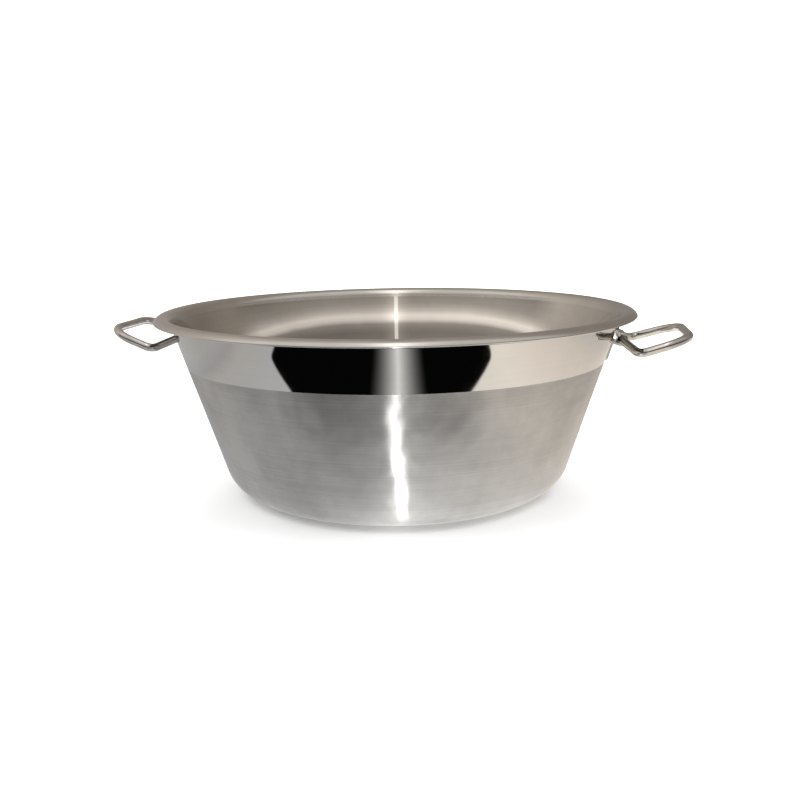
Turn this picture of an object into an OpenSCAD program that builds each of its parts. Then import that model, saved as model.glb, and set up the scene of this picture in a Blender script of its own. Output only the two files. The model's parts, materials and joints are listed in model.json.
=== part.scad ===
// Conical brew kettle: a spun sheet-steel vessel with a rolled lip, and two bent rod
// handles, each hinged in a pressed saddle bracket that is spot-welded to the wall.
// Origin at the centre of the flat base, +Z up, handles along the X axis, millimetres.

/* [Vessel] */
// Diameter over the outer edge of the rolled lip
rim_d = 450; // [420:5:480]
// Height of the lip's crest above the base
kettle_h = 172; // [165:1:200]
// Lean of the wall away from upright, in degrees
wall_lean = 18; // [15:0.5:21]
// Thickness of the sheet steel
sheet_t = 1.5; // [1.2:0.1:2]
// Outside radius where the wall turns into the base
base_corner_r = 38; // [30:1:55]
// Radius of the lip's upper face
lip_roll_r = 9; // [7:0.5:9.5]
// Drop from the lip's crest to its outer edge
lip_drop = 4.5; // [3.5:0.5:5.5]

/* [Handles] */
// Diameter of the handle rod
rod_d = 8; // [6:0.5:9]
// Width of the handle across its inner bends
grip_w = 108; // [104:1:120]
// Width of the handle across its outer bends
tip_w = 98; // [86:1:104]
// Reach of the legs, from the hinge bar out to the inner bends
leg_reach = 15; // [14:0.5:20]
// Reach of the arms, from the inner bends out to the tip
arm_reach = 46.5; // [44:0.5:60]
// Fold between the legs and the arms, in degrees
fold = 45; // [35:1:50]
// Droop of the right handle's legs below level at rest, in degrees
right_droop = 28.5; // [20:0.5:30]
// Droop of the left handle's legs below level at rest, in degrees
left_droop = 24; // [20:0.5:30]
// Middle radius of the bends beside the hinge bar
bar_bend_r = 9; // [7:0.5:10]
// Middle radius of the inner bends
inner_bend_r = 8.5; // [7:0.5:12]
// Middle radius of the tip's two bends
tip_bend_r = 28; // [24:1:30]

/* [Brackets] */
// Height of the hinges' axes above the base
hinge_z = 144.5; // [125:0.5:145]
// Distance from the wall to the hinge's axis
hinge_gap = 7; // [6.75:0.25:10]
// Width of each bracket along the hinge's axis
bracket_w = 28; // [22:1:28]
// Height of each bracket's plate above the hinge's axis
plate_above = 11; // [10:0.5:12]
// Depth of each bracket's plate below the hinge's axis
plate_below = 23; // [16:0.5:26]
// Thickness of the bracket's plate
plate_t = 2; // [1.5:0.25:2.5]
// Radius of the plate's corners
plate_corner_r = 4; // [2:0.5:4]
// Radial play of the rod in its saddle
hinge_play = 0.08; // [0.05:0.01:0.1]

/* [Hidden] */
$fn = 64;

// Segments in each arc of the vessel's outline
arc_steps = 14;
// Length by which a cutting solid runs past what it cuts
overrun = 3;
// Distance along the bar from the bracket's side to the corner of the handle's first bend
bar_side_gap = 3;
// The rod's bends are this much fuller than its straights, which run this far into them
bend_swell = 0.05;
bend_overlap = 0.5;

rim_r = rim_d / 2;
rod_r = rod_d / 2;

// The lip's upper face ends here, counted up from level about the roll's centre
lip_end_angle = asin(1 - lip_drop / lip_roll_r);
lip_centre = [rim_r - lip_roll_r * cos(lip_end_angle), kettle_h - lip_roll_r];
// Angle, about the roll's centre, where the wall runs into the lip
lip_start_angle = 180 - wall_lean;

// Radius of the wall's face that lies inset_from_top inside the lip's upper face
function wall_r(z, inset_from_top) =
    lip_centre[0] - (lip_roll_r - inset_from_top) / cos(wall_lean) + (z - lip_centre[1]) * tan(wall_lean);
function outer_wall_r(z) = wall_r(z, sheet_t);

corner_centre = [outer_wall_r(base_corner_r) - base_corner_r / cos(wall_lean), base_corner_r];

// Points along an arc in the plane of radius and height
function arc(centre, r, from, to) =
    [for (i = [0 : arc_steps])
        let (a = from + (to - from) * i / arc_steps)
        centre + r * [cos(a), sin(a)]];

// Half section of the vessel: out along the underside, round the lip, back along the inside
vessel_outline = concat(
    [[0, 0]],
    arc(corner_centre, base_corner_r, -90, -wall_lean),
    arc(lip_centre, lip_roll_r - sheet_t, lip_start_angle, lip_end_angle),
    arc(lip_centre, lip_roll_r, lip_end_angle, lip_start_angle),
    arc(corner_centre, base_corner_r - sheet_t, -wall_lean, -90),
    [[0, sheet_t]]
);

module kettle_body() {
    color("silver")
        rotate_extrude($fn = 180)
            polygon(vessel_outline);
}

// A solid cone whose face stands off the outside of the wall by the given distance
module wall_cone(stand_off) {
    extra = stand_off / cos(wall_lean);
    cylinder(h = kettle_h, r1 = outer_wall_r(0) + extra, r2 = outer_wall_r(kettle_h) + extra, $fn = 180);
}

// Place of the right hinge's axis. The left one is half a turn away.
hinge_place = [outer_wall_r(hinge_z) + hinge_gap / cos(wall_lean), 0, hinge_z];

// Frame of the hinge against the wall: +X straight out from the wall, +Z up the wall
module at_hinge() {
    translate(hinge_place)
        rotate([0, wall_lean, 0])
            children();
}

// Flat outline of the bracket's plate, with rounded corners
module plate_outline() {
    plate_h = plate_above + plate_below;
    translate([-bracket_w / 2, -plate_below + plate_corner_r])
        square([bracket_w, plate_h - 2 * plate_corner_r]);
    translate([-bracket_w / 2 + plate_corner_r, -plate_below])
        square([bracket_w - 2 * plate_corner_r, plate_h]);
    for (side = [-1, 1], y = [-plate_below + plate_corner_r, plate_above - plate_corner_r])
        translate([side * (bracket_w / 2 - plate_corner_r), y])
            circle(r = plate_corner_r);
}

// End view of the saddle: a half round over the rod, with flanks that run back into the wall
module saddle_outline(r) {
    circle(r = r);
    translate([-hinge_gap - overrun, -r])
        square([hinge_gap + overrun, 2 * r]);
}

module saddle_block(r, w) {
    rotate([90, 0, 0])
        linear_extrude(height = w, center = true)
            saddle_outline(r);
}

module bracket() {
    bore_r = rod_r + hinge_play;
    color("darkgray")
        difference() {
            union() {
                intersection() {
                    wall_cone(plate_t);
                    at_hinge()
                        translate([-hinge_gap - overrun, 0, 0])
                            rotate([90, 0, 90])
                                linear_extrude(height = hinge_gap + overrun)
                                    plate_outline();
                }
                at_hinge()
                    saddle_block(bore_r + plate_t, bracket_w);
            }
            at_hinge()
                saddle_block(bore_r, bracket_w + overrun);
            wall_cone(0);
        }
}

module right_bracket() {
    bracket();
}

module left_bracket() {
    rotate([0, 0, 180])
        bracket();
}

// Corners of the rod's centre line with its legs level: the hinge bar's end, the inner bend and
// the tip's bend, as distance out, distance along the hinge's axis and height above it
half_corners = [
    [0, bracket_w / 2 + bar_side_gap, 0],
    [leg_reach, grip_w / 2, 0],
    [leg_reach + arm_reach * cos(fold), tip_w / 2, arm_reach * sin(fold)]
];
half_bend_r = [bar_bend_r, inner_bend_r, tip_bend_r];
half_count = len(half_corners);
corner_count = 2 * half_count;

function mirrored(p) = [p[0], -p[1], p[2]];
rod_corners = [for (i = [0 : corner_count - 1])
    i < half_count ? half_corners[i] : mirrored(half_corners[corner_count - 1 - i])];
rod_bend_r = [for (i = [0 : corner_count - 1])
    i < half_count ? half_bend_r[i] : half_bend_r[corner_count - 1 - i]];

function unit(v) = v / norm(v);
function corner(i) = rod_corners[(i + corner_count) % corner_count];
// Directions from corner i back to the one before it and on to the one after it
function back(i) = unit(corner(i - 1) - corner(i));
function onward(i) = unit(corner(i + 1) - corner(i));
// Angle between the two stretches that meet at corner i
function corner_angle(i) = acos(back(i) * onward(i));
function bend_start(i) = corner(i) + back(i) * rod_bend_r[i] / tan(corner_angle(i) / 2);
function bend_end(i) = corner(i) + onward(i) * rod_bend_r[i] / tan(corner_angle(i) / 2);
function bend_centre(i) =
    corner(i) + unit(back(i) + onward(i)) * rod_bend_r[i] / sin(corner_angle(i) / 2);

// Puts its children's X, Y and Z axes along three directions, at a place
module in_frame(x, y, z, place) {
    multmatrix([
        [x[0], y[0], z[0], place[0]],
        [x[1], y[1], z[1], place[1]],
        [x[2], y[2], z[2], place[2]],
        [0, 0, 0, 1]
    ])
        children();
}

module rod_bend(i) {
    centre = bend_centre(i);
    x = unit(bend_start(i) - centre);
    z = unit(cross(x, bend_end(i) - centre));
    in_frame(x, cross(z, x), z, centre)
        rotate_extrude(angle = 180 - corner_angle(i))
            translate([rod_bend_r[i], 0])
                circle(r = rod_r + bend_swell);
}

// The straight stretch between corner i and the next one
module rod_straight(i) {
    from = bend_end(i);
    to = bend_start((i + 1) % corner_count);
    z = unit(to - from);
    side = unit(cross(z, abs(z[2]) < 0.9 ? [0, 0, 1] : [1, 0, 0]));
    in_frame(side, cross(z, side), z, from - bend_overlap * z)
        cylinder(h = norm(to - from) + 2 * bend_overlap, r = rod_r);
}

module handle(droop) {
    color("gainsboro")
        translate(hinge_place)
            rotate([0, droop, 0])
                for (i = [0 : corner_count - 1]) {
                    rod_bend(i);
                    rod_straight(i);
                }
}

module right_handle() {
    handle(right_droop);
}

module left_handle() {
    rotate([0, 0, 180])
        handle(left_droop);
}

kettle_body();
right_bracket();
left_bracket();
right_handle();
left_handle();
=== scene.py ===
import json
import math
from collections import namedtuple

import bpy
import numpy as np
from mathutils import Matrix, Vector


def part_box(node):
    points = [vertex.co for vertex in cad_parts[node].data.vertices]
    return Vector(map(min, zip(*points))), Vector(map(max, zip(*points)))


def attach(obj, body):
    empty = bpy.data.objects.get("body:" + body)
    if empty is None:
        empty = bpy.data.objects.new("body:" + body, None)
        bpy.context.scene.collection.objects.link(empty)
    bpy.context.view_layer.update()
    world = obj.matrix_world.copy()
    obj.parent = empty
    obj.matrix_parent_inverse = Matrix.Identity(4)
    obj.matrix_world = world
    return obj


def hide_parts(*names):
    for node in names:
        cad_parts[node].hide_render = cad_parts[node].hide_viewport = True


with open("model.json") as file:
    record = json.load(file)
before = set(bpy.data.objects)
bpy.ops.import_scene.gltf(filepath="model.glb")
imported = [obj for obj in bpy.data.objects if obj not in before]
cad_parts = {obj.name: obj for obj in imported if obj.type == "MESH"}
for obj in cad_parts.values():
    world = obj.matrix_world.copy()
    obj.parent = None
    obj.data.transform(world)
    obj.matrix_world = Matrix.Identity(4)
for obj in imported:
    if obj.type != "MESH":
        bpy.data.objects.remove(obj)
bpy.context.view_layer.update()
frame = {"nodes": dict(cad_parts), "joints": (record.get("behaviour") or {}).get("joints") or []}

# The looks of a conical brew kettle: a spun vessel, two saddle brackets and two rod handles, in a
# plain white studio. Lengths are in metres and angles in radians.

# ---------------------------------------------------------------- sizes

# Vessel, as in the CAD source
WALL_LEAN = math.radians(18)
SHEET = 0.0015
BASE_CORNER_R = 0.038
LIP_ROLL_R = 0.009
LIP_DROP = 0.0045
# Height of the line where the bright band under the lip ends
BAND_FOOT_Z = 0.1264
# Height where the painted shade close under the lip starts: a dark line standing in for the shadow
# under the lip's edge
LIP_SHADE_Z = 0.1636

# Handle rod, as in the CAD source
ROD_R = 0.004
BRACKET_W = 0.028
BAR_SIDE_GAP = 0.003
GRIP_W = 0.108
TIP_W = 0.098
LEG_REACH = 0.015
ARM_REACH = 0.0465
FOLD = math.radians(45)
LEG_DROOP = {"right": math.radians(28.5), "left": math.radians(24)}
# Half of the rod's corners with the legs level, from the hinge's middle: out from the wall, along
# the hinge's axis, up. Each corner has a bend with its own middle radius.
HALF_CORNERS = [
    (0, BRACKET_W / 2 + BAR_SIDE_GAP, 0),
    (LEG_REACH, GRIP_W / 2, 0),
    (LEG_REACH + ARM_REACH * math.cos(FOLD), TIP_W / 2, ARM_REACH * math.sin(FOLD)),
]
HALF_BENDS = [0.009, 0.0085, 0.028]

# Mesh steps: in an arc of the vessel's outline, round the sheet's edge, up the outside of the
# wall, up its inside, out along the underside, in along the floor, and round the axis
ARC_STEPS = 28
EDGE_STEPS = 10
WALL_STEPS = 24
INSIDE_STEPS = 48
UNDERSIDE_STEPS = 12
FLOOR_STEPS = 16
TURN_STEPS = 288
# Mesh steps in each bend of the rod, and round the rod
BEND_STEPS = 20
ROD_SIDES = 28

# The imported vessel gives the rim's radius and the height
_, vessel_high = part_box("kettle_body")
RIM_R = vessel_high.x
KETTLE_H = vessel_high.z
LIP_END = math.asin(1 - LIP_DROP / LIP_ROLL_R)
LIP_START = math.pi - WALL_LEAN
LIP_CENTRE = np.array([RIM_R - LIP_ROLL_R * math.cos(LIP_END), KETTLE_H - LIP_ROLL_R])


def wall_r(z):
    """Radius of the wall's outside at a height."""
    return (
        LIP_CENTRE[0]
        - (LIP_ROLL_R - SHEET) / math.cos(WALL_LEAN)
        + (z - LIP_CENTRE[1]) * math.tan(WALL_LEAN)
    )


CORNER_CENTRE = np.array(
    [wall_r(BASE_CORNER_R) - BASE_CORNER_R / math.cos(WALL_LEAN), BASE_CORNER_R]
)

# ---------------------------------------------------------------- node helpers


class Nodes:
    """A small helper that adds and links nodes in one tree."""

    def __init__(self, tree):
        self.tree = tree

    def add(self, kind, **values):
        node = self.tree.nodes.new(kind)
        for name, value in values.items():
            setattr(node, name, value)
        return node

    def link(self, a, b):
        self.tree.links.new(a, b)

    def fill(self, socket, value):
        """Puts a number, a vector or another node's output into a socket."""
        if isinstance(value, (int, float, tuple)):
            socket.default_value = value
        else:
            self.link(value, socket)

    def maths(self, operation, *values):
        node = self.add("ShaderNodeMath", operation=operation)
        for socket, value in zip(node.inputs, values):
            self.fill(socket, value)
        return node.outputs[0]

    def vector_sum(self, a, b):
        node = self.add("ShaderNodeVectorMath", operation="ADD")
        self.link(a, node.inputs[0])
        self.link(b, node.inputs[1])
        return node.outputs["Vector"]

    def vector_times(self, vector, factor):
        node = self.add("ShaderNodeVectorMath", operation="SCALE")
        self.link(vector, node.inputs[0])
        self.link(factor, node.inputs["Scale"])
        return node.outputs["Vector"]

    def split(self, vector):
        node = self.add("ShaderNodeSeparateXYZ")
        self.link(vector, node.inputs[0])
        return node.outputs["X"], node.outputs["Y"], node.outputs["Z"]

    def join(self, x, y, z):
        node = self.add("ShaderNodeCombineXYZ")
        for socket, value in zip(node.inputs, (x, y, z)):
            self.fill(socket, value)
        return node.outputs[0]

    def ramp(self, value, stops, low=0.0, high=1.0):
        """A grey or a colour for each value from low to high. stops: (value, grey or colour)."""
        if (low, high) != (0.0, 1.0):
            value = self.maths("DIVIDE", self.maths("SUBTRACT", value, low), high - low)
        node = self.add("ShaderNodeValToRGB")
        elements = node.color_ramp.elements
        while len(elements) < len(stops):
            elements.new(0.5)
        for element, (place, colour) in zip(elements, stops):
            rgb = (colour,) * 3 if isinstance(colour, (int, float)) else colour
            element.position = (place - low) / (high - low)
            element.color = (*rgb, 1)
        self.link(value, node.inputs[0])
        return node.outputs[0]

    def fade(self, value, start, end):
        """0 up to the start, then evenly up to 1 at the end."""
        return self.ramp(value, [(start, 0.0), (end, 1.0)], start, end)

    def soft_bump(self, value, middle, half):
        """1 where the value is at the middle, falling smoothly to 0 at half a width to each side."""
        away = self.maths("ABSOLUTE", self.maths("SUBTRACT", value, middle))
        near = self.maths("SUBTRACT", 1.0, self.maths("DIVIDE", away, half))
        clipped = self.maths("MAXIMUM", near, 0.0)
        return self.maths("MULTIPLY", clipped, clipped)

    def blend(self, factor, a, b):
        node = self.add("ShaderNodeMix", data_type="RGBA")
        for name, value in (("Factor", factor), ("A", a), ("B", b)):
            self.fill(node.inputs[name], value)
        return node.outputs["Result"]

    def noise(self, vector, scale, detail=3.0, roughness=0.5):
        node = self.add("ShaderNodeTexNoise")
        node.inputs["Scale"].default_value = scale
        node.inputs["Detail"].default_value = detail
        node.inputs["Roughness"].default_value = roughness
        self.link(vector, node.inputs["Vector"])
        return node.outputs["Fac"]

    def stretched(self, vector, scale):
        node = self.add("ShaderNodeMapping")
        node.inputs["Scale"].default_value = scale
        self.link(vector, node.inputs["Vector"])
        return node.outputs[0]

    def bump(self, height, strength, distance, normal=None):
        node = self.add("ShaderNodeBump")
        node.inputs["Strength"].default_value = strength
        node.inputs["Distance"].default_value = distance
        self.link(height, node.inputs["Height"])
        if normal is not None:
            self.link(normal, node.inputs["Normal"])
        return node.outputs[0]


# ---------------------------------------------------------------- steel

# One finish of the vessel's steel. light and dark are its two tones, roughness its lowest and
# highest value, lines the strength of the finishing lines, spread how far highlights spread
# across them, and wave the depth of the sheet's unevenness.
Finish = namedtuple("Finish", "light dark roughness lines spread wave")
FINISHES = {
    "brushed": Finish(
        (0.62, 0.612, 0.60), (0.38, 0.376, 0.372), (0.30, 0.38), lines=0.25, spread=1.0, wave=0.0034
    ),
    "band": Finish(
        (0.69, 0.68, 0.665), (0.64, 0.63, 0.615), (0.03, 0.06), lines=0.012, spread=0.5, wave=0.0001
    ),
    # The top of the wall and the lip's underside: dark tones that paint the shade under the lip
    "painted_shade_under_lip": Finish(
        (0.22, 0.215, 0.21), (0.15, 0.147, 0.144), (0.20, 0.30), lines=0.05, spread=0.4, wave=0.0002
    ),
    "lip": Finish(
        (0.70, 0.68, 0.645), (0.60, 0.58, 0.545), (0.12, 0.20), lines=0.05, spread=0.5, wave=0.0002
    ),
    "inside": Finish(
        (0.64, 0.61, 0.575), (0.55, 0.525, 0.495), (0.008, 0.02), lines=0.001, spread=0.2, wave=0.00001
    ),
    "floor": Finish(
        (0.62, 0.60, 0.575), (0.50, 0.48, 0.455), (0.14, 0.24), lines=0.1, spread=0.8, wave=0.0004
    ),
    "base": Finish(
        (0.62, 0.612, 0.60), (0.43, 0.425, 0.42), (0.34, 0.44), lines=0.3, spread=0.9, wave=0.0010
    ),
}
# Scales of the noise in the steel, per metre: fine finishing lines, broader rings round the
# vessel, worn patches, the sheet's unevenness
LINE_SCALE = 900.0
RING_SCALE = 70.0
PATCH_SCALE = 13.0
WAVE_SCALE = 20.0
# Worn patches on the rod, and soft patches on the bracket's plate
ROD_WEAR_SCALE = 70.0
PLATE_PATCH_SCALE = 60.0
# How much the rings and the patches count in the steel's tone
RING_SHARE = 0.2
PATCH_SHARE = 0.6
# Height of the fine relief that finishing leaves in steel
RELIEF = 0.0002


def new_material(name, metallic=1.0):
    material = bpy.data.materials.new(name)
    material.use_nodes = True
    shader = material.node_tree.nodes["Principled BSDF"]
    shader.inputs["Metallic"].default_value = metallic
    nodes = Nodes(material.node_tree)
    position = nodes.add("ShaderNodeTexCoord").outputs["Object"]
    return material, nodes, shader, position


def turned_position(nodes, position, around, across):
    """Coordinates that change slowly round the Z axis and fast up the wall or out along the base,
    so that noise read with them makes the fine rings that a spinning lathe and a belt leave."""
    x, y, z = nodes.split(position)
    length = nodes.add("ShaderNodeVectorMath", operation="LENGTH")
    nodes.link(nodes.join(x, y, 0.0), length.inputs[0])
    rise = nodes.maths("ADD", z, length.outputs["Value"])
    return nodes.join(
        nodes.maths("MULTIPLY", x, around),
        nodes.maths("MULTIPLY", y, around),
        nodes.maths("MULTIPLY", rise, across),
    )


def turned_steel(name, finish):
    """Steel finished round the Z axis."""
    material, nodes, shader, position = new_material(name)
    fine_place = turned_position(nodes, position, around=2.0, across=LINE_SCALE)
    fine = nodes.noise(fine_place, scale=1.0, detail=4.0, roughness=0.7)
    broad_place = turned_position(nodes, position, around=6.0, across=RING_SCALE)
    broad = nodes.noise(broad_place, scale=1.0, detail=4.0, roughness=0.6)
    patches = nodes.noise(position, PATCH_SCALE, detail=5.0, roughness=0.62)

    rings = nodes.maths("MULTIPLY", nodes.maths("ADD", fine, broad), RING_SHARE)
    tone = nodes.maths("ADD", rings, nodes.maths("MULTIPLY", patches, PATCH_SHARE))
    colour = nodes.ramp(tone, [(0.38, finish.dark), (0.60, finish.light)])
    nodes.link(colour, shader.inputs["Base Color"])

    smooth, rough = finish.roughness
    mixed = nodes.maths("MULTIPLY", nodes.maths("ADD", broad, patches), 0.5)
    nodes.link(nodes.ramp(mixed, [(0.35, smooth), (0.65, rough)]), shader.inputs["Roughness"])

    # The finishing lines run round the vessel, so the highlights spread across them, a quarter
    # turn from the radial tangent
    shader.inputs["Anisotropic"].default_value = finish.spread
    shader.inputs["Anisotropic Rotation"].default_value = 0.25
    tangent = nodes.add("ShaderNodeTangent", direction_type="RADIAL", axis="Z")
    nodes.link(tangent.outputs[0], shader.inputs["Tangent"])

    waves = nodes.noise(position, WAVE_SCALE, detail=2.0)
    uneven = nodes.bump(waves, strength=1.0, distance=finish.wave)
    lined = nodes.bump(fine, strength=finish.lines, distance=RELIEF, normal=uneven)
    nodes.link(lined, shader.inputs["Normal"])
    return material


def rod_steel():
    """Polished rod: faint drawing lines and small worn patches."""
    material, nodes, shader, position = new_material("handle_rod_steel")
    worn = nodes.noise(position, ROD_WEAR_SCALE, detail=5.0, roughness=0.6)
    colour = nodes.ramp(worn, [(0.35, (0.54, 0.525, 0.50)), (0.65, (0.70, 0.685, 0.66))])
    nodes.link(colour, shader.inputs["Base Color"])
    nodes.link(nodes.ramp(worn, [(0.3, 0.05), (0.7, 0.11)]), shader.inputs["Roughness"])
    lined = nodes.bump(nodes.noise(position, LINE_SCALE), strength=0.08, distance=RELIEF)
    nodes.link(lined, shader.inputs["Normal"])
    return material


def pressed_steel():
    """Satin pressed sheet: rolling lines up the plate and a slightly uneven surface."""
    material, nodes, shader, position = new_material("bracket_pressed_steel")
    grain = nodes.noise(nodes.stretched(position, (1.0, 1.0, 0.04)), LINE_SCALE, detail=2.0)
    patches = nodes.noise(position, PLATE_PATCH_SCALE, detail=2.0)
    colour = nodes.ramp(patches, [(0.3, (0.50, 0.488, 0.47)), (0.7, (0.58, 0.568, 0.55))])
    nodes.link(colour, shader.inputs["Base Color"])
    nodes.link(nodes.ramp(grain, [(0.3, 0.20), (0.7, 0.25)]), shader.inputs["Roughness"])
    uneven = nodes.bump(patches, strength=0.15, distance=2 * RELIEF)
    nodes.link(uneven, shader.inputs["Normal"])
    return material


# ---------------------------------------------------------------- mesh helpers


def mesh_object(name, points, faces, face_materials, materials):
    """A smooth mesh. face_materials holds, for each face, its place in the list of materials."""
    mesh = bpy.data.meshes.new(name)
    mesh.from_pydata([tuple(p) for p in points], [], faces)
    for material in materials:
        mesh.materials.append(material)
    mesh.polygons.foreach_set("material_index", face_materials)
    mesh.polygons.foreach_set("use_smooth", [True] * len(faces))
    mesh.update()
    made = bpy.data.objects.new(name, mesh)
    bpy.context.scene.collection.objects.link(made)
    return made


def polar(r, angle):
    return r * np.array([math.cos(angle), math.sin(angle)])


def arc(centre, r, start, end, steps=ARC_STEPS):
    """Points of an arc in the plane of radius and height, both ends included."""
    return [centre + polar(r, angle) for angle in np.linspace(start, end, steps + 1)]


def line(start, end, steps):
    """Points strictly between two points of an outline."""
    return [start + (end - start) * i / steps for i in range(1, steps)]


# ---------------------------------------------------------------- vessel


def vessel_outline():
    """(point, finish) pairs from the middle of the underside, round the lip, to the middle of the
    inside. A finish names the stretch that runs from its point to the next."""
    outer_corner = arc(CORNER_CENTRE, BASE_CORNER_R, -math.pi / 2, -WALL_LEAN)
    band_foot = np.array([wall_r(BAND_FOOT_Z), BAND_FOOT_Z])
    band_head = np.array([wall_r(LIP_SHADE_Z), LIP_SHADE_Z])
    painted_shade_under_lip = arc(LIP_CENTRE, LIP_ROLL_R - SHEET, LIP_START, LIP_END)
    edge_centre = LIP_CENTRE + polar(LIP_ROLL_R - SHEET / 2, LIP_END)
    edge = arc(edge_centre, SHEET / 2, LIP_END - math.pi, LIP_END, EDGE_STEPS)[1:-1]
    over_lip = arc(LIP_CENTRE, LIP_ROLL_R, LIP_END, LIP_START)
    inner_corner = arc(CORNER_CENTRE, BASE_CORNER_R - SHEET, -WALL_LEAN, -math.pi / 2)
    underside_middle = np.array([0.0, 0.0])
    floor_middle = np.array([0.0, SHEET])
    stretches = [
        ("base", line(underside_middle, outer_corner[0], UNDERSIDE_STEPS)),
        ("brushed", outer_corner),
        ("brushed", line(outer_corner[-1], band_foot, WALL_STEPS)),
        ("band", [band_foot] + line(band_foot, band_head, WALL_STEPS)),
        # The top of the wall and the underside of the lip get the painted shade
        ("painted_shade_under_lip", [band_head] + painted_shade_under_lip),
        ("lip", edge + over_lip),
        ("inside", line(over_lip[-1], inner_corner[0], INSIDE_STEPS)),
        ("inside", inner_corner),
        ("floor", line(inner_corner[-1], floor_middle, FLOOR_STEPS)),
    ]
    return [(point, finish) for finish, points in stretches for point in points]


def spin(outline):
    """Points and faces of the outline spun round Z, and each face's finish. Both ends close at a
    point on the axis."""
    angles = np.linspace(0, 2 * math.pi, TURN_STEPS, endpoint=False)
    points = [(r * math.cos(a), r * math.sin(a), z) for (r, z), _ in outline for a in angles]
    underside_middle = len(points)
    floor_middle = underside_middle + 1
    points += [(0, 0, 0), (0, 0, SHEET)]
    last_row = (len(outline) - 1) * TURN_STEPS
    faces = []
    finishes = []
    for i in range(TURN_STEPS):
        j = (i + 1) % TURN_STEPS
        for row, (_, finish) in enumerate(outline[:-1]):
            low = row * TURN_STEPS
            high = low + TURN_STEPS
            faces.append((low + i, low + j, high + j, high + i))
            finishes.append(finish)
        faces.append((underside_middle, j, i))
        faces.append((last_row + i, last_row + j, floor_middle))
        finishes += [outline[0][1], outline[-1][1]]
    return points, faces, finishes


def make_vessel():
    points, faces, face_finishes = spin(vessel_outline())
    materials = [turned_steel(name + "_steel", finish) for name, finish in FINISHES.items()]
    places = {name: i for i, name in enumerate(FINISHES)}
    face_materials = [places[name] for name in face_finishes]
    vessel = mesh_object("vessel", points, faces, face_materials, materials)
    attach(vessel, "vessel")
    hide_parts("kettle_body")


# ---------------------------------------------------------------- handles and brackets


def rod_path():
    """The rod's closed centre line, as points that follow the bends closely."""
    corners = [Vector(p) for p in HALF_CORNERS]
    corners += [Vector((out, -along, up)) for out, along, up in reversed(HALF_CORNERS)]
    bends = HALF_BENDS + HALF_BENDS[::-1]
    path = []
    for i, (corner, bend) in enumerate(zip(corners, bends)):
        back = (corners[i - 1] - corner).normalized()
        onward = (corners[(i + 1) % len(corners)] - corner).normalized()
        half = back.angle(onward) / 2
        start = corner + back * bend / math.tan(half)
        centre = corner + (back + onward).normalized() * bend / math.sin(half)
        axis = (start - centre).cross(onward).normalized()
        for k in range(BEND_STEPS + 1):
            turn = Matrix.Rotation((math.pi - 2 * half) * k / BEND_STEPS, 3, axis)
            path.append(centre + turn @ (start - centre))
    return path


def tube(path, radius, sides):
    """Points and faces of a closed tube along a closed path, with rings that don't twist."""
    count = len(path)
    tangents = [(path[(i + 1) % count] - path[i - 1]).normalized() for i in range(count)]
    side = tangents[0].orthogonal().normalized()
    points = []
    for place, tangent in zip(path, tangents):
        side = (side - tangent * side.dot(tangent)).normalized()
        other = tangent.cross(side)
        for k in range(sides):
            angle = 2 * math.pi * k / sides
            points.append(place + (side * math.cos(angle) + other * math.sin(angle)) * radius)
    # The last ring meets the first one turned by some angle, so its points are matched by place
    last, first = points[-sides:], points[:sides]
    shift = min(range(sides), key=lambda s: (last[0] - first[s]).length)
    faces = []
    for i in range(count):
        here = i * sides
        there = (i + 1) % count * sides
        turn = shift if i == count - 1 else 0
        for k in range(sides):
            m = (k + 1) % sides
            near_edge = (here + k, here + m)
            far_edge = (there + (m + turn) % sides, there + (k + turn) % sides)
            faces.append(near_edge + far_edge)
    return points, faces


def hinge_frame(joint_name):
    """Matrix from the hinge's own frame (X out from the wall, level; Z up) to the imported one."""
    joint = next(j for j in frame["joints"] if j["name"] == joint_name)
    place = Vector(joint["pos_m"])
    turn = Matrix.Rotation(0 if place.x > 0 else math.pi, 4, "Z")
    return Matrix.Translation(place) @ turn


def make_handle(side, material):
    points, faces = tube(rod_path(), ROD_R, ROD_SIDES)
    to_place = hinge_frame(side + "_handle_hinge") @ Matrix.Rotation(LEG_DROOP[side], 4, "Y")
    placed = [to_place @ p for p in points]
    rod = mesh_object(side + "_grip_rod", placed, faces, [0] * len(faces), [material])
    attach(rod, side + "_grip")
    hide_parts(side + "_handle")


def dress_bracket(side, material):
    """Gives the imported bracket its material. Its shape stays as it is."""
    bracket = frame["nodes"][side + "_bracket"]
    bracket.data.materials.clear()
    bracket.data.materials.append(material)


def make_kettle():
    make_vessel()
    rod_material = rod_steel()
    bracket_material = pressed_steel()
    for side in ("right", "left"):
        make_handle(side, rod_material)
        dress_bracket(side, bracket_material)


# ---------------------------------------------------------------- camera

# The handles' axis is turned a little towards the camera on the right
CAMERA_AZIMUTH = math.radians(9.2)
CAMERA_DISTANCE = 0.916
CAMERA_Z = 0.2696
CAMERA_HEADING = CAMERA_AZIMUTH - math.radians(0.197)
CAMERA_PITCH = math.radians(11.58)
CAMERA_ROLL = math.radians(0.882)
# Focal length and sensor width, in millimetres
CAMERA_LENS = 43.25
CAMERA_SENSOR = 36.0
# Everything in the studio is placed in a frame whose -Y axis points at the camera
STUDIO = Matrix.Rotation(CAMERA_AZIMUTH, 4, "Z")


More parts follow.
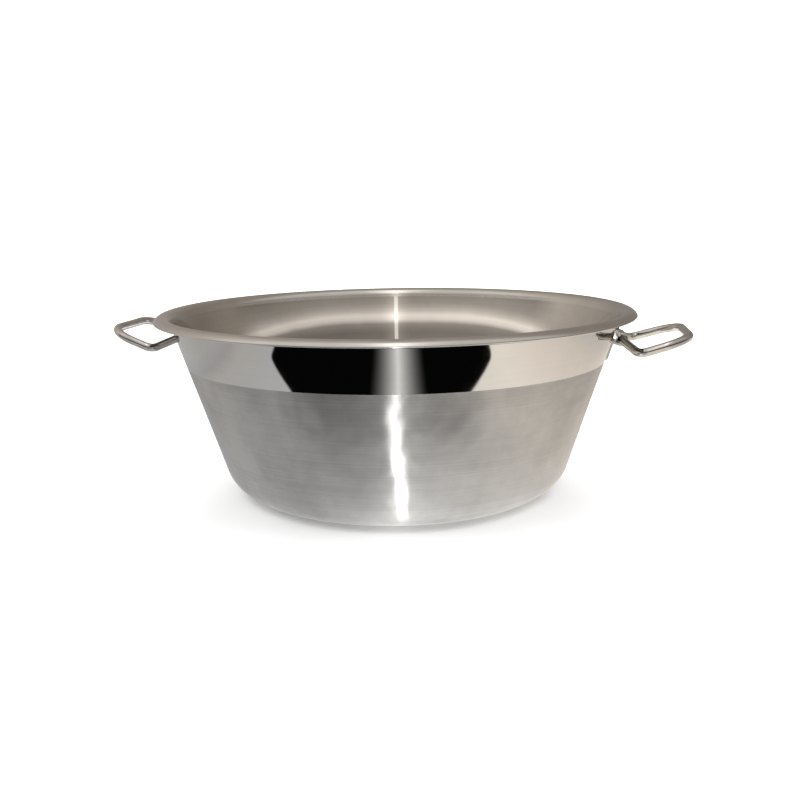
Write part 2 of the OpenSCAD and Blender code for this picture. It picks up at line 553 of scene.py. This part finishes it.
def make_camera():
    data = bpy.data.cameras.new("camera")
    data.sensor_width = CAMERA_SENSOR
    data.lens = CAMERA_LENS
    camera = bpy.data.objects.new("camera", data)
    bpy.context.scene.collection.objects.link(camera)
    camera.matrix_world = (
        Matrix.Translation(STUDIO @ Vector((0, -CAMERA_DISTANCE, CAMERA_Z)))
        @ Matrix.Rotation(CAMERA_HEADING, 4, "Z")
        @ Matrix.Rotation(math.pi / 2 - CAMERA_PITCH, 4, "X")
        @ Matrix.Rotation(-CAMERA_ROLL, 4, "Z")
    )
    bpy.context.scene.camera = camera


# ---------------------------------------------------------------- floor and reflected table

FLOOR_SIZE = 60
TABLE_SIZE = 8
# The reflected table lies this far below the floor
TABLE_Z = -0.0005

# Front edge of the table that the steel sees: a slow curve, nearest the kettle at EDGE_SAG_X
EDGE_Y = -0.238
EDGE_SAG = 0.24
EDGE_SAG_X = -0.25
# Ends of the dark beyond that edge, how round its corners are, and how soft its outline is
DARK_LEFT = -0.300
DARK_RIGHT = 0.228
DARK_END_Y = -0.43
DARK_ROUNDING = 0.02
DARK_SOFTNESS = 0.004
# Middle and half width of the soft glow that a light above the camera leaves in the dark
GLOW_X = 0.004
GLOW_HALF = 0.062
DARK_COLOUR = (0.002, 0.002, 0.002)
GLOW_COLOUR = (0.95, 0.94, 0.92)
# Colours of the table by distance to the right, cool and dull on the left, warm on the right
TABLE_COLOURS = [
    (-0.4625, (0.50, 0.49, 0.48)),
    (-0.4125, (0.44, 0.43, 0.43)),
    (-0.3750, (0.54, 0.52, 0.50)),
    (-0.2875, (0.56, 0.56, 0.56)),
    (-0.0625, (0.60, 0.60, 0.60)),
    (0.0625, (0.84, 0.82, 0.79)),
    (0.2500, (1.06, 0.98, 0.87)),
    (0.3375, (0.96, 0.86, 0.76)),
    (0.4250, (0.84, 0.75, 0.66)),
    (0.5000, (0.66, 0.62, 0.58)),
]
# Those colours run this far to each side of the middle
TABLE_REACH = 0.625
# The pool of light in the middle of the table, which fades out from the kettle towards POOL_END_Y
POOL = 0.7
POOL_X = 0.02
POOL_HALF = 0.32
POOL_FULL_Y = -0.133
POOL_END_Y = -0.30
# The halo round the light on the table
HALO = 0.6
HALO_X = 0.010
HALO_HALF_X = 0.09
HALO_Y = -0.185
HALO_HALF_Y = 0.08


def stage_plane(name, size, z, material):
    half = size / 2
    corners = [(-half, -half, z), (half, -half, z), (half, half, z), (-half, half, z)]
    plane = mesh_object(name, [STUDIO @ Vector(c) for c in corners], [(0, 1, 2, 3)], [0], [material])
    return plane


def floor_material():
    material, nodes, shader, position = new_material("pale_floor", metallic=0.0)
    shader.inputs["Specular IOR Level"].default_value = 0.0
    shader.inputs["Roughness"].default_value = 0.9
    grain = nodes.noise(position, scale=6.0, detail=4.0)
    nodes.link(nodes.ramp(grain, [(0.3, 0.93), (0.7, 0.95)]), shader.inputs["Base Color"])
    return material


def studio_axes(nodes, vector):
    """X, Y and Z of a vector in the studio's frame."""
    turned = nodes.add("ShaderNodeVectorRotate", rotation_type="Z_AXIS")
    turned.inputs["Angle"].default_value = -CAMERA_AZIMUTH
    nodes.link(vector, turned.inputs["Vector"])
    return nodes.split(turned.outputs[0])


def table_light(nodes, x, y):
    """The table itself, brightest in the middle close to the kettle and round the table light."""
    colour = nodes.ramp(x, TABLE_COLOURS, -TABLE_REACH, TABLE_REACH)
    near = nodes.maths("MULTIPLY", nodes.fade(y, POOL_END_Y, POOL_FULL_Y), POOL)
    pool = nodes.maths("MULTIPLY", near, nodes.soft_bump(x, POOL_X, POOL_HALF))
    across = nodes.soft_bump(x, HALO_X, HALO_HALF_X)
    along = nodes.soft_bump(y, HALO_Y, HALO_HALF_Y)
    halo = nodes.maths("MULTIPLY", nodes.maths("MULTIPLY", across, along), HALO)
    return nodes.vector_sum(colour, nodes.maths("ADD", pool, halo))


def beyond_table(nodes, x, y):
    """1 in the dark beyond the table's front edge, and 0 on the table."""
    from_sag = nodes.maths("ABSOLUTE", nodes.maths("SUBTRACT", x, EDGE_SAG_X))
    sag = nodes.maths("MULTIPLY", nodes.maths("POWER", from_sag, 2.0), EDGE_SAG)
    inside = nodes.maths("SUBTRACT", EDGE_Y, nodes.maths("ADD", y, sag))
    for from_end in (
        nodes.maths("SUBTRACT", x, DARK_LEFT),
        nodes.maths("SUBTRACT", DARK_RIGHT, x),
        nodes.maths("SUBTRACT", y, DARK_END_Y),
    ):
        inside = nodes.maths("SMOOTH_MIN", inside, from_end, DARK_ROUNDING)
    return nodes.fade(inside, 0.0, DARK_SOFTNESS)


def reflected_table_material():
    """What the steel sees below it: a table, and beyond its front edge a dark with a soft glow."""
    material = bpy.data.materials.new("reflected_table")
    material.use_nodes = True
    material.node_tree.nodes.clear()
    nodes = Nodes(material.node_tree)
    x, y, _ = studio_axes(nodes, nodes.add("ShaderNodeTexCoord").outputs["Object"])
    glow = nodes.soft_bump(x, GLOW_X, GLOW_HALF)
    dark = nodes.ramp(glow, [(0.0, DARK_COLOUR), (1.0, GLOW_COLOUR)])
    light = nodes.add("ShaderNodeEmission")
    seen = nodes.blend(beyond_table(nodes, x, y), table_light(nodes, x, y), dark)
    nodes.link(seen, light.inputs["Color"])
    out = nodes.add("ShaderNodeOutputMaterial")
    nodes.link(light.outputs[0], out.inputs["Surface"])
    return material


def make_stage():
    """The camera sees the floor, and the steel sees the table in its place."""
    floor = stage_plane("floor", FLOOR_SIZE, 0, floor_material())
    floor.visible_glossy = False
    table = stage_plane("reflected_table", TABLE_SIZE, TABLE_Z, reflected_table_material())
    table.visible_camera = False
    table.visible_diffuse = False
    table.visible_shadow = False


# ---------------------------------------------------------------- studio

# Tilt of the studio's ceiling towards the camera, and the bow of its front edge
CEILING_TILT = 0.205
CEILING_BOW = 0.0425
# The room by height: dark along the horizon, a bright edge at 0.342, then the ceiling
ROOM_COLOURS = [
    (-0.06, (0.05, 0.048, 0.046)),
    (0.15, (0.05, 0.048, 0.046)),
    (0.22, (0.28, 0.265, 0.245)),
    (0.25, (0.43, 0.405, 0.375)),
    (0.30, (0.41, 0.385, 0.355)),
    (0.33, (0.27, 0.25, 0.225)),
    (0.339, (0.43, 0.405, 0.375)),
    (0.341, (0.46, 0.435, 0.40)),
    (0.342, (1.34, 1.25, 1.18)),
    (0.3456, (1.20, 1.13, 1.05)),
    (0.351, (0.70, 0.655, 0.605)),
    (0.358, (0.47, 0.44, 0.40)),
    (0.375, (0.31, 0.285, 0.255)),
    (0.40, (0.33, 0.31, 0.285)),
    (0.44, (0.56, 0.54, 0.51)),
    (0.735, (0.74, 0.72, 0.69)),
]
# Lowest height that those colours cover. The highest is 1.
ROOM_LOW = -0.06
# The plain wall behind the kettle, by distance to the right
WALL_COLOURS = [(-0.5, (0.56, 0.51, 0.46)), (0.5, (0.41, 0.365, 0.32))]
# From this much of a unit direction's Y the room starts to give way to that wall, and from this
# much there is only the wall
WALL_START = 0.02
WALL_FULL = 0.30
# How much darker it is on the far right than in the middle, and the level straight behind
RIGHT_LOSS = 0.2
BEHIND_LEVEL = 0.62
# Strength and half width of the glow low in front of the kettle, then half width of the glow
# above, and the heights of a unit direction over which that one comes in
LOW_GLOW = 0.7
LOW_GLOW_HALF = 0.18
HIGH_GLOW_HALF = 0.32
HIGH_GLOW_START = 0.55
HIGH_GLOW_FULL = 0.75
# What the camera and the floor see all round
WHITE = (1.1, 1.1, 1.1, 1.0)


def room_colour(nodes, x, y, z):
    """The room in front of the kettle, and the plain wall behind it."""
    tilt = nodes.maths("ADD", nodes.maths("MULTIPLY", y, CEILING_BOW), CEILING_TILT)
    height = nodes.maths("ADD", z, nodes.maths("MULTIPLY", y, tilt))
    room = nodes.ramp(height, ROOM_COLOURS, ROOM_LOW, 1.0)
    wall = nodes.ramp(x, WALL_COLOURS, -1.0, 1.0)
    return nodes.blend(nodes.fade(y, WALL_START, WALL_FULL), room, wall)


def room_level(nodes, x, y, z):
    """Darker to the right and behind the kettle, brighter straight in front of it and overhead."""
    sideways = nodes.maths("SUBTRACT", 1.0, nodes.maths("MULTIPLY", x, RIGHT_LOSS))
    behind = nodes.ramp(y, [(WALL_FULL, 1.0), (1.0, BEHIND_LEVEL)])
    overhead = nodes.fade(z, HIGH_GLOW_START, HIGH_GLOW_FULL)
    low_glow = nodes.maths("MULTIPLY", nodes.soft_bump(x, 0.0, LOW_GLOW_HALF), LOW_GLOW)
    high_glow = nodes.maths("MULTIPLY", nodes.soft_bump(x, 0.0, HIGH_GLOW_HALF), overhead)
    ahead = nodes.maths("LESS_THAN", y, 0.0)
    glow = nodes.maths("MULTIPLY", nodes.maths("ADD", low_glow, high_glow), ahead)
    return nodes.maths("ADD", nodes.maths("MULTIPLY", sideways, behind), glow)


def make_world():
    """White to the camera and to the floor. The steel sees a room instead."""
    world = bpy.data.worlds.new("studio")
    world.use_nodes = True
    world.node_tree.nodes.clear()
    bpy.context.scene.world = world
    nodes = Nodes(world.node_tree)
    x, y, z = studio_axes(nodes, nodes.add("ShaderNodeTexCoord").outputs["Generated"])
    room = nodes.vector_times(room_colour(nodes, x, y, z), room_level(nodes, x, y, z))
    steel_sees = nodes.add("ShaderNodeLightPath").outputs["Is Glossy Ray"]
    background = nodes.add("ShaderNodeBackground")
    nodes.link(nodes.blend(steel_sees, WHITE, room), background.inputs["Color"])
    out = nodes.add("ShaderNodeOutputWorld")
    nodes.link(background.outputs[0], out.inputs["Surface"])


# ---------------------------------------------------------------- lights

KETTLE_MIDDLE = Vector((0, 0, 0.1))
# The tall narrow light behind the camera, and the small one on the table with the turn that makes
# its streak lean
STRIP_PLACE = (-0.03, -3.0, 1.9)
TABLE_STRIP_PLACE = (0.001, -0.238, 0.0008)
TABLE_STRIP_TURN = 0.08
# Places of the soft lights over the ground, and their height, size and power
SOFT_PLACES = {"soft_left": (-2.2, -0.6), "soft_right": (2.2, -0.6), "soft_back": (0, 2.0)}
SOFT_Z = 2.7
SOFT_SIZE = 2.4
SOFT_WATTS = 60


def area_light(name, place, width, height, watts, turn=None):
    """A rectangular light that points at the kettle, or is turned as given."""
    data = bpy.data.lights.new(name, "AREA")
    data.shape = "RECTANGLE"
    data.size = width
    data.size_y = height
    data.energy = watts
    light = bpy.data.objects.new(name, data)
    bpy.context.scene.collection.objects.link(light)
    at = STUDIO @ Vector(place)
    if turn is None:
        turn = (KETTLE_MIDDLE - at).to_track_quat("-Z", "Y").to_matrix().to_4x4()
    light.matrix_world = Matrix.Translation(at) @ turn
    return light


def make_strip_light():
    """Draws the upright streaks in the lip and the inside."""
    area_light("strip_light", STRIP_PLACE, width=0.13, height=1.8, watts=0.45)


def make_table_strip():
    """Faces up, and draws the bright streak down the brushed wall."""
    facing_up = Matrix.Rotation(math.pi, 4, "X") @ Matrix.Rotation(TABLE_STRIP_TURN, 4, "Z")
    strip = area_light(
        "table_strip",
        TABLE_STRIP_PLACE,
        width=0.009,
        height=0.125,
        watts=0.034,
        turn=STUDIO @ facing_up,
    )
    strip.visible_camera = False
    strip.visible_diffuse = False


def make_soft_lights():
    """Broad soft light on the floor, which the steel doesn't see."""
    for name, (x, y) in SOFT_PLACES.items():
        soft = area_light(name, (x, y, SOFT_Z), SOFT_SIZE, SOFT_SIZE, SOFT_WATTS)
        soft.visible_glossy = False


# ---------------------------------------------------------------- the scene

make_kettle()
make_camera()
make_stage()
make_world()
make_strip_light()
make_table_strip()
make_soft_lights()
bpy.context.scene.view_settings.view_transform = "Standard"
